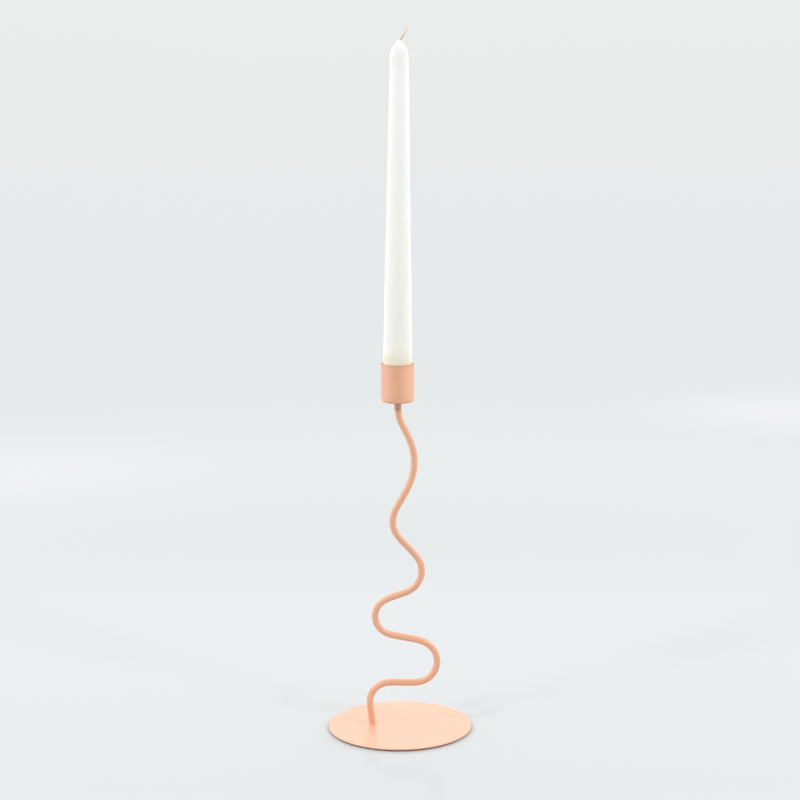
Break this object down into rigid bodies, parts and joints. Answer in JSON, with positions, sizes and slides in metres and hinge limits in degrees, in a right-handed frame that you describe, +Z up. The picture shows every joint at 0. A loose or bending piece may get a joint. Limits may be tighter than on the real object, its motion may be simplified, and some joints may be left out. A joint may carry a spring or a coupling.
{
  "type": "candle holder",
  "caption": "Free-standing candle holder: a rod bent into a widening wave carries a round cup above a flat disc foot, with a tapered dinner candle standing in the cup.",
  "frame": {"origin": "centre of the base plate, at the height of the surface that the four foot pads stand on", "axes": "+Z up, towards the candle's tip; +X to the right as seen from the front, in the plane in which the stem is bent; +Y away from the front"},
  "size_m": [0.11, 0.11, 0.5294],
  "materials": {
    "coated_steel": "satin",
    "coated_weld": "satin",
    "pad_rubber": "matte",
    "candle_wax": "satin",
    "wick_cotton": "matte"
  },
  "bodies": {
    "holder": {"base_plate": "coated_steel", "stem": "coated_steel", "foot_weld": "coated_weld", "cup_weld": "coated_weld", "candle_cup": "coated_steel", "foot_pad_1": "pad_rubber", "foot_pad_2": "pad_rubber", "foot_pad_3": "pad_rubber", "foot_pad_4": "pad_rubber"},
    "candle": {"candle": "candle_wax", "wick": "wick_cotton"}
  },
  "joints": [
    {"name": "candle_lift", "type": "slide", "parent": "holder", "child": "candle", "axis": [0.0129, 0, 0.9999], "range_m": [0, 0.045]}
  ]
}
